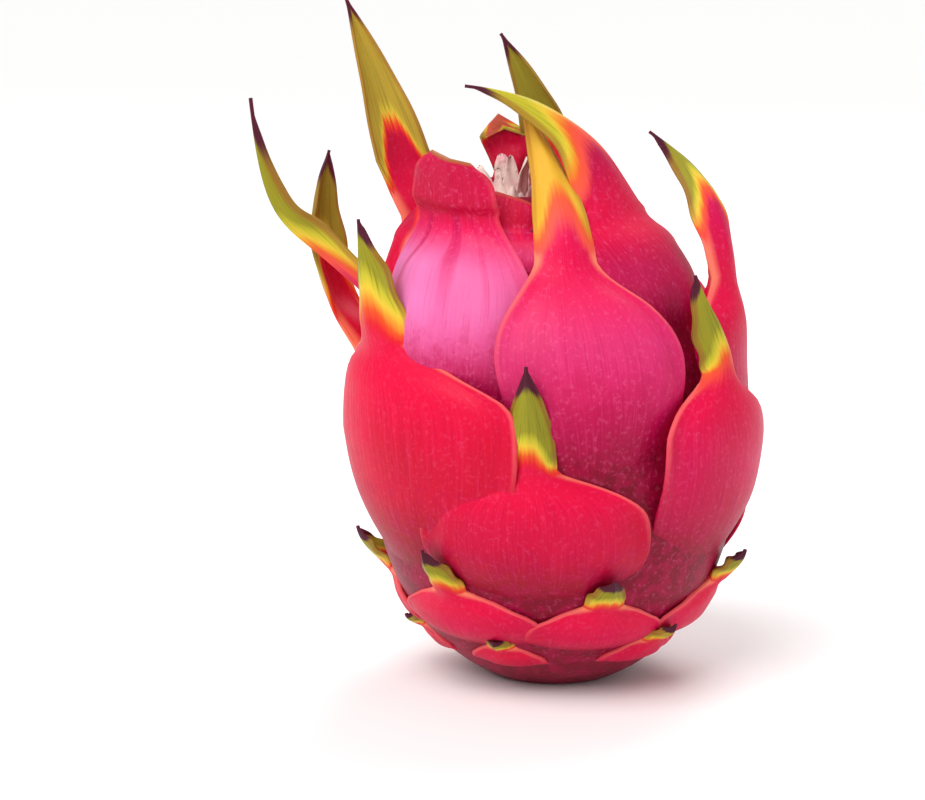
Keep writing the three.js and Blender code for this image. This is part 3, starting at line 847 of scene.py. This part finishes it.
# %% The shreds in the cup
SHREDS = 8
SHRED_RINGS = 14
SHRED_FACE = np.linspace(-1, 1, 9)
SHRED_THICKNESS = 0.35  # half of it
SHRED_FOOT = (4, 4.8)  # radius, height above the navel's floor
SHRED_NARROWS = (0.75, 1.6)  # how much narrower it is at its end, and the power of the way there
SHRED_EDGES = (0.12, 9)  # how its edges wave: share of its width, waves in radians
SHRED_CRUMPLES = ((0.35, 5, 6, 1), (0.2, 13, -9, 2))  # height, count across, count along, phase
SHRED_CUPS = 0.5  # how far its edges stand outwards, and how far they sag at its end
SHRED_THINS = 0.5
SHRED_PHASE = 1.7  # what the waves advance from one shred to the next, in radians
JITTER = 14  # degrees

# The least and the most that chance gives a shred
SHRED_HEIGHTS = (4, 12)
SHRED_HALF_WIDTHS = (2, 3.6)
SHRED_CURLS = (-1.5, 3.5)  # how far its end leans outwards
rng = np.random.default_rng(7)


def shred_rings(bearing, height, width, curl, seed):
    """A papery strip that stands in the cup."""
    rings = []
    narrows, power = SHRED_NARROWS
    wave, waves = SHRED_EDGES
    foot_radius, foot_height = SHRED_FOOT
    across = np.concatenate([SHRED_FACE, SHRED_FACE[::-1]])
    face = np.concatenate([SHRED_FACE * 0 + 1, SHRED_FACE * 0 - 1])
    for u in np.linspace(0, 1, SHRED_RINGS):
        half = width * (1 - narrows * u**power) * (1 + wave * np.sin(waves * u + seed))
        crumple = sum(
            size * np.sin(sideways * across + upwards * u + phase * seed)
            for size, sideways, upwards, phase in SHRED_CRUMPLES
        )
        r = foot_radius + curl * u**2 + face * SHRED_THICKNESS * (1 - SHRED_THINS * u)
        r = r + crumple * u + SHRED_CUPS * across**2
        z = NAVEL_FLOOR + foot_height + height * u - SHRED_CUPS * (across * u) ** 2
        rings.append(round_axis(r, z, np.radians(bearing) + half * across / CUP_RADIUS, stump_middle))
    return np.array(rings)


shreds = []
for i in range(SHREDS):
    bearing = i * 360 / SHREDS + rng.uniform(-JITTER, JITTER)
    tall = rng.uniform(*SHRED_HEIGHTS)
    wide = rng.uniform(*SHRED_HALF_WIDTHS)
    curl = rng.uniform(*SHRED_CURLS)
    rings = shred_rings(bearing, tall, wide, curl, SHRED_PHASE * i)
    shreds.append(closed_mesh(f"shred_{i}", rings[:, ::-1], {}))
flower = fused("dried_flower", cup, shreds)
print("dried flower:", len(flower.data.polygons), "faces")

# %% [markdown]
# ## The stem
# Below, the fruit keeps a short stub of the stem that it was cut from. Its cut face lies level with the
# flat spot, and its woody sides are ribbed. A cylinder with a displacement would do too, but an outline
# turned round the axis gives the worn edge of the cut and the ribs in one step.

# %% The stem
# Radius and height, from its cut face up
STUB = (
    (AXIS, 0), (2.6, 0), (4.6, 0), (5.2, 0.05), (5.5, 0.6), (5.35, 1.6), (5.1, 2.6), (4.7, 3.4),
    (4.2, 4.2), (AXIS, 4.9),
)
STUB_SIDES = 96
STUB_RIBS = (0.035, 11)  # depth as a share of the radius, count
RIBS_BEGIN = (0, 0.5)  # heights
STUB_CREASE = 50  # degrees, as on the skin

r, z = np.array(STUB).T[..., None]
b = bearings(STUB_SIDES)
ribs = 1 - STUB_RIBS[0] * (1 - np.cos(STUB_RIBS[1] * b)) / 2 * ramp(z, RIBS_BEGIN)
stub = closed_mesh("stem_end", round_axis(r * ribs, z, b), {})
bpy.context.scene.collection.objects.link(stub)
stub.data.set_sharp_from_angle(angle=np.radians(STUB_CREASE))
print("stem end:", len(stub.data.polygons), "faces")

# %% [markdown]
# ## Writing a finish as sums
# A material is a net of nodes, and a net is hard to read. Here a value on its way through the net is a
# Python object, so 1 - mask or a * b writes the Math nodes. Colours go through Mix, because a Math node
# greys them.


# %% Values that add their own nodes
class Value:
    """One output of a node. Sums on it add Math nodes."""

    def __init__(self, finish, socket):
        self.finish, self.socket = finish, socket

    def sum(self, operation, *values):
        return self.finish.add("ShaderNodeMath", {"operation": operation}, dict(enumerate(values)))

    def __add__(self, other):
        return self.sum("ADD", self, other)

    def __mul__(self, other):
        return self.sum("MULTIPLY", self, other)

    def __sub__(self, other):
        return self.sum("SUBTRACT", self, other)

    def __rsub__(self, other):
        return self.sum("SUBTRACT", other, self)

    def __abs__(self):
        return self.sum("ABSOLUTE", self)

    __radd__, __rmul__ = __add__, __mul__

    def least(self, other):
        return self.sum("MINIMUM", self, other)

    def between(self, low, high):
        """0 below low, 1 above high, and smooth between them. low may lie above high."""
        if low > high:
            return 1 - self.between(high, low)
        sockets = {"Value": self, "From Min": low, "From Max": high}
        return self.finish.add("ShaderNodeMapRange", {"interpolation_type": "SMOOTHSTEP"}, sockets)


def colour(red, green, blue):
    """A colour as seen on a screen, 0 to 255, as the light values that Blender works in."""
    c = np.array([red, green, blue]) / 255
    light = np.where(c <= 0.04045, c / 12.92, ((c + 0.055) / 1.055) ** 2.4)
    return tuple(float(v) for v in light)


print("magenta as light:", [round(v, 3) for v in colour(204, 0, 92)])


# %% A material in the making
class Finish:
    """A material whose nodes are added by calls."""

    def __init__(self, name):
        self.material = bpy.data.materials.new(name)
        self.material.use_nodes = True
        self.tree = self.material.node_tree
        self.tree.nodes.clear()
        self.surface = self.add("ShaderNodeBsdfPrincipled", {}, {}, whole=True)
        output = self.add("ShaderNodeOutputMaterial", {}, {}, whole=True)
        self.tree.links.new(self.surface.outputs["BSDF"], output.inputs["Surface"])

    def add(self, kind, settings, sockets, output=0, whole=False):
        """Adds a node: its type, its settings, and the values or links of its sockets."""
        node = self.tree.nodes.new(kind)
        stops = settings.pop("stops", None)
        for key, value in settings.items():
            setattr(node, key, value)
        if stops:
            elements = node.color_ramp.elements
            while len(elements) < len(stops):
                elements.new(1)
            for element, (position, tone) in zip(elements, stops):
                element.position, element.color = position, (*tone, 1)
        for key, value in sockets.items():
            self.put(node, key, value)
        return node if whole else Value(self, node.outputs[output])

    def put(self, node, key, value):
        """Gives a socket a value or a link."""
        socket = node.inputs[key]
        if isinstance(value, Value):
            self.tree.links.new(value.socket, socket)
        elif isinstance(value, tuple) and len(value) == 3 and socket.type == "RGBA":
            socket.default_value = (*value, 1)
        else:
            socket.default_value = value

    def mix(self, share, a, b):
        """Two colours mixed."""
        settings = {"data_type": "RGBA", "blend_type": "MIX"}
        return self.add("ShaderNodeMix", settings, {0: share, 6: a, 7: b}, output=2)

    def coats(self, base, *coats):
        """A colour with others laid over it. Each has a share, and a tone as seen on a screen."""
        for share, tone in coats:
            base = self.mix(share, base, colour(*tone))
        return base

    def grown(self, name):
        """The three facts that the mesh keeps under that name."""
        fact = self.add("ShaderNodeAttribute", {"attribute_name": name}, {}, output=1)
        parts = self.add("ShaderNodeSeparateXYZ", {}, {0: fact}, whole=True)
        return [Value(self, out) for out in parts.outputs]

    def where(self):
        """The place on the object."""
        return self.add("ShaderNodeTexCoord", {}, {}, output=3)

    def at(self, x, y, z):
        return self.add("ShaderNodeCombineXYZ", {}, {0: x, 1: y, 2: z})

    def noise(self, place, scale, detail=3.0, roughness=0.5):
        values = {"Vector": place, "Scale": scale, "Detail": detail, "Roughness": roughness}
        return self.add("ShaderNodeTexNoise", {}, values)

    def bump(self, height, strength, distance):
        sockets = {"Strength": strength, "Distance": distance, "Height": height}
        return self.add("ShaderNodeBump", {}, sockets)

    def dress(self, piece, **sockets):
        """Sets the surface's sockets, puts the material on a piece, and says so."""
        for key, value in sockets.items():
            self.put(self.surface, key.replace("_", " "), value)
        piece.data.materials.clear()
        piece.data.materials.append(self.material)
        print(f"{self.material.name}: {len(self.tree.nodes)} nodes, on {piece.name}")


# %% [markdown]
# ## The skin's finish
# The colour of a dragon fruit follows its scales, so the finish reads where each place is on its scale. A
# foot is deep crimson, partly its own colour and partly painted shade of the recess between the scales. The
# shoulders are magenta or scarlet, and their edges salmon. Magenta shoulders are paler pink in their middle,
# partly their own tone and partly a painted highlight, and some whole scales are painted darker crimson,
# partly as painted shade. The blade runs through orange and yellow to green, which comes sooner at its edges
# than in its middle, and the tip is purple. Painting it would need a picture, and this way any scale colours
# itself.

# %% Where a place is on its scale
skin = Finish("dragon_fruit_skin")
along, across, from_edge = skin.grown("place")
green, dark, red = skin.grown("habit")
inner, seed, cut = skin.grown("cast")
sharp, ripe, deep = skin.grown("tint")
where = skin.where()
own = seed * 9  # moves the patterns on, so that no two scales share them
past_neck = along - 1
on_blade = past_neck.between(-0.3, -0.1)
rim = abs(across).between(0.2, 1.0) * past_neck.between(-0.12, 0.12)
trimmed = cut.between(2.0, 1.0)
print("facts that the skin reads: place, habit, cast, tint")

# %% The skin's patterns
# cloud and mottle lie over the whole skin, grit is the finest. fibre, vein and streaks run along each
# scale.
cloud = skin.noise(where, 34.0, 2.0)
mottle = skin.noise(where, 260.0, 4.0, 0.6)
grit = skin.noise(where, 900.0, 3.0, 0.6)
fibre = skin.noise(skin.at(across * 6, along * 0.8 + own, inner * 3), 2.0, 4.0, 0.6)
vein = skin.noise(skin.at(across * 26, along * 1.6 + own, inner * 3), 2.0, 3.0, 0.55)
streaks = skin.noise(skin.at(across * 2.4, along * 0.5 + own, 1.0), 2.0, 2.0)
print("patterns of the skin: 6")

# %% The shoulders' colours
magenta = skin.mix(cloud.between(0.35, 0.65), colour(204, 0, 92), colour(220, 8, 108))
scarlet = skin.mix(cloud.between(0.3, 0.7), colour(190, 0, 40), colour(208, 0, 56))
# A paler pink on the middle of magenta shoulders: partly the skin's own paler tone, partly a painted
# highlight, stronger on the left of each scale, where the main light falls
lilac_and_highlight = along.between(0.3, 0.68) * past_neck.between(0.0, -0.2) * red.between(0.4, 0.0)
lilac_and_highlight = lilac_and_highlight * (0.45 + cloud * 1.1) * (1 - across * 0.3)
stripes = streaks.between(0.48, 0.66) * along.between(0.45, 0.85) * (1 - red)
specks = mottle.between(0.44, 0.6) * along.between(0.7, 0.4)
flush = along.between(0.62, 0.9) * past_neck.between(0.35, 0.0)
# Painted shade in the wrinkles near the collar of a trimmed scale
crease_shade = streaks.between(0.5, 0.6) * along.between(0.7, 0.95) * trimmed
collar = trimmed * past_neck.between(-0.05, 0.06)
edge_line = from_edge.between(1.1, 0.1) * along.between(0.45, 0.9) * (1 - trimmed * 0.75) * (0.5 + cloud)
neck_rim = from_edge.between(2.2, 0.3) * past_neck.between(-0.12, 0.02) * (1 - trimmed) * (1 - deep)
shoulders = skin.coats(
    skin.mix(red, magenta, scarlet),
    (lilac_and_highlight * 0.85, (228, 126, 186)),
    (stripes * 0.42, (206, 10, 100)),
    # deep darkens whole scales to crimson: partly their own tone, partly painted shade on scales that lie in
    # shadow, such as right_sweep and trimmed_inner
    (deep * 0.75, (150, 0, 44)),
    # Darker towards each scale's foot: the skin's deeper crimson there, with painted shade of the recess
    # between and under the scales round it
    (along.between(0.6, 0.1) * 0.95, (112, 0, 22)),  # the foot
    (specks * 0.4, (176, 0, 70)),
    (flush * (0.75 - lilac_and_highlight * 0.5), (220, 0, 58)),
    (crease_shade * 0.5, (186, 0, 84)),
    (collar * (0.7 + cloud * 0.3), (186, 0, 46)),
    (vein.between(0.5, 0.72) * (0.22 - red * 0.12), (232, 70, 138)),  # pale veins and dark ones
    (vein.between(0.48, 0.3) * 0.24, (150, 0, 58)),
    (grit.between(0.52, 0.7) * (0.2 - red * 0.12), (240, 110, 160)),
    (edge_line * 0.6, (238, 108, 104)),
    (neck_rim * 0.75, (246, 138, 100)),
)
print("nodes up to the shoulders:", len(skin.tree.nodes))

# %% The blades' colours
# stage says how far a place has come on its way from red to green
shifted = past_neck + (fibre - 0.5) * 0.14 + (cloud - 0.5) * 0.1 + rim * 0.26
stage = ((shifted - green) * (sharp + inner * 1.6) + 0.5).least(ripe)
warm = skin.add("ShaderNodeValToRGB", {"stops": [
    (0.0, colour(214, 8, 48)),
    (0.2, colour(216, 26, 36)),
    (0.36, colour(222, 80, 30)),
    (0.5, colour(226, 150, 44)),
    (0.62, colour(220, 188, 56)),
    (0.78, colour(190, 180, 46)),
    (1.0, colour(144, 140, 34)),
]}, {0: stage})
salmon = (1 - red) * stage.between(0.5, 0.2)
warm = skin.coats(warm, (salmon * 0.75, (248, 104, 84)))
golden = stage.between(0.6, 0.9) * seed.between(0.8, 0.95) * on_blade
olive = fibre.between(0.5, 0.7) * stage.between(0.6, 0.9) * on_blade
brown_edge = from_edge.between(0.8, 0.2) * stage.between(0.35, 0.7) * on_blade
purple = (shifted + from_edge.between(1.4, 0.2) * 0.1 - dark - rim * 0.26).between(-0.05, 0.05) * on_blade
inside = inner.between(0.3, 0.9) * stage.between(0.4, 0.7) * (1 - purple)
cut_face = abs(past_neck - cut).between(0.05, 0.01)
coloured = skin.coats(
    skin.mix(stage.between(0.0, 0.24) * on_blade, shoulders, warm),
    (golden * 0.6, (196, 158, 52)),
    (olive * 0.5, (84, 76, 22)),
    (brown_edge * 0.5, (140, 60, 40)),
    (purple, (74, 26, 44)),
    (inside * 0.2, (170, 160, 70)),
    (cut_face * (0.7 - deep * 0.8), (150, 116, 50)),
)
print("nodes up to the tips:", len(skin.tree.nodes))

# %% The skin's surface
# Waxy: a soft shine, a thin coat, and a little light that enters the skin and leaves it redder
relief = fibre * 0.5 + mottle * 0.45 + cloud * 0.3 + vein * 0.5 + grit * 0.2
skin.dress(
    fruit,
    Base_Color=coloured,
    Roughness=0.38 + mottle * 0.16,
    Specular_IOR_Level=0.13,
    Coat_Weight=0.03,
    Coat_Roughness=0.2,
    Subsurface_Weight=0.1,
    Subsurface_Radius=(0.006, 0.0012, 0.002),
    Subsurface_Scale=1.0,
    Normal=skin.bump(relief, 0.3, 0.0007),
)

# %% [markdown]
# ## The dry finishes
# The dried flower is papery: cream with a blush of pink and brown flecks. The stem is dull wood with darker
# grain. Both are dead tissue without any shine, so two noises are enough: a coarse one for patches of
# colour, and a fine one for the grain, which also gives the roughness and the relief.

# %% The dried flower's finish
paper = Finish("dried_petals")
where = paper.where()
grain = paper.noise(where, 420.0, 4.0)
blush = paper.noise(where, 90.0, 2.0).between(0.4, 0.62)
pale = paper.coats(
    paper.mix(blush, colour(236, 214, 204), colour(224, 168, 172)),
    (grain.between(0.55, 0.75) * 0.6, (150, 108, 84)),
)
paper.dress(flower, Base_Color=pale, Roughness=0.8 + grain * 0.15, Normal=paper.bump(grain, 0.5, 0.0005))

# %% The stem's finish
wood = Finish("stem_wood")
where = wood.where()
grain = wood.noise(where, 500.0, 5.0)
patches = wood.noise(where, 120.0, 2.0).between(0.35, 0.65)
brown = wood.coats(
    wood.mix(patches, colour(150, 132, 84), colour(112, 94, 62)),
    (grain.between(0.5, 0.75) * 0.7, (74, 58, 38)),
)
wood.dress(stub, Base_Color=brown, Roughness=0.82 + grain * 0.12, Normal=wood.bump(grain, 0.7, 0.0006))

# %% [markdown]
# ## The studio
# A pale floor, a white surround that only the camera sees, and soft light: a broad sun from the upper left,
# a weak lamp from the right, and one behind that lights the edges. A picture of a studio could light the
# scene as well, but three lamps are easier to move and to understand.

# %% The floor and the surround
bpy.ops.mesh.primitive_plane_add(size=12)
floor = bpy.context.object
floor.name = "floor"
Finish("pale_floor").dress(floor, Base_Color=(0.92, 0.92, 0.92), Roughness=0.6)
floor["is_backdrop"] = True

bpy.ops.mesh.primitive_uv_sphere_add(radius=6, segments=48, ring_count=24)
surround = bpy.context.object
surround.name = "surround"
glow = Finish("white_surround")
glow.dress(surround, Base_Color=(0, 0, 0), Roughness=1.0, Emission_Color=(1, 1, 1), Emission_Strength=1.0)
surround.visible_diffuse = surround.visible_glossy = surround.visible_shadow = False
surround.visible_transmission = surround.visible_volume_scatter = False
surround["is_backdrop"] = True

world = bpy.data.worlds.new("studio")
world.use_nodes = True
world.node_tree.nodes["Background"].inputs["Color"].default_value = (1, 0.99, 0.98, 1)
world.node_tree.nodes["Background"].inputs["Strength"].default_value = 0.5
bpy.context.scene.world = world
bpy.context.scene.view_settings.view_transform = "Standard"


# %% The lamps and the camera
LAMPS_AIM = (-0.012, 0, 0.075)
CAMERA_AIM = (-0.0223, 0, 0.067)


def aimed(name, data, aim, bearing, elevation, distance):
    """A lamp or a camera that looks at a place from a bearing, an elevation and a distance, in metres."""
    thing = bpy.data.objects.new(name, data)
    back = Vector(direction(bearing, elevation))
    thing.location = Vector(aim) + back * distance
    thing.rotation_euler = (-back).to_track_quat("-Z", "Y").to_euler()
    bpy.context.scene.collection.objects.link(thing)
    return thing


def soft_lamp(name, size, watts, **place):
    light = bpy.data.lights.new(name, "AREA")
    light.size, light.energy = size, watts
    aimed(name, light, LAMPS_AIM, **place)


soft_lamp("fill", size=0.7, watts=1.2, bearing=62, elevation=20, distance=1.1)
soft_lamp("behind", size=0.5, watts=4, bearing=160, elevation=50, distance=0.9)
sun = bpy.data.lights.new("main", "SUN")
sun.energy, sun.angle = 2.7, np.radians(50)
aimed("main", sun, (0, 0, 0), bearing=-38, elevation=50, distance=0)

lens = bpy.data.cameras.new("camera")
lens.lens, lens.sensor_width = 145, 36
camera = aimed("camera", lens, CAMERA_AIM, bearing=0, elevation=10, distance=0.9)
bpy.context.scene.camera = camera
print("lamps: a sun, fill, behind. The camera has a lens of", lens.lens, "mm")

# %% [markdown]
# ## Joining the imported model
# Every piece rides on the fruit's one body, and the imported node that it stands for is hidden.

# %% Joining the imported model
for piece, node, slot in (
    (fruit, "fruit", "skin"), (flower, "flower_stump", "dried_flower"), (stub, "stem_stub", "stem"),
):
    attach(piece, "root")
    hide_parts(node)

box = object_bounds()
for name, (low, high) in (("packed", cad_box), ("visual", box)):
    print(name, "box in mm:", [round(v / MM, 1) for v in low], [round(v / MM, 1) for v in high])
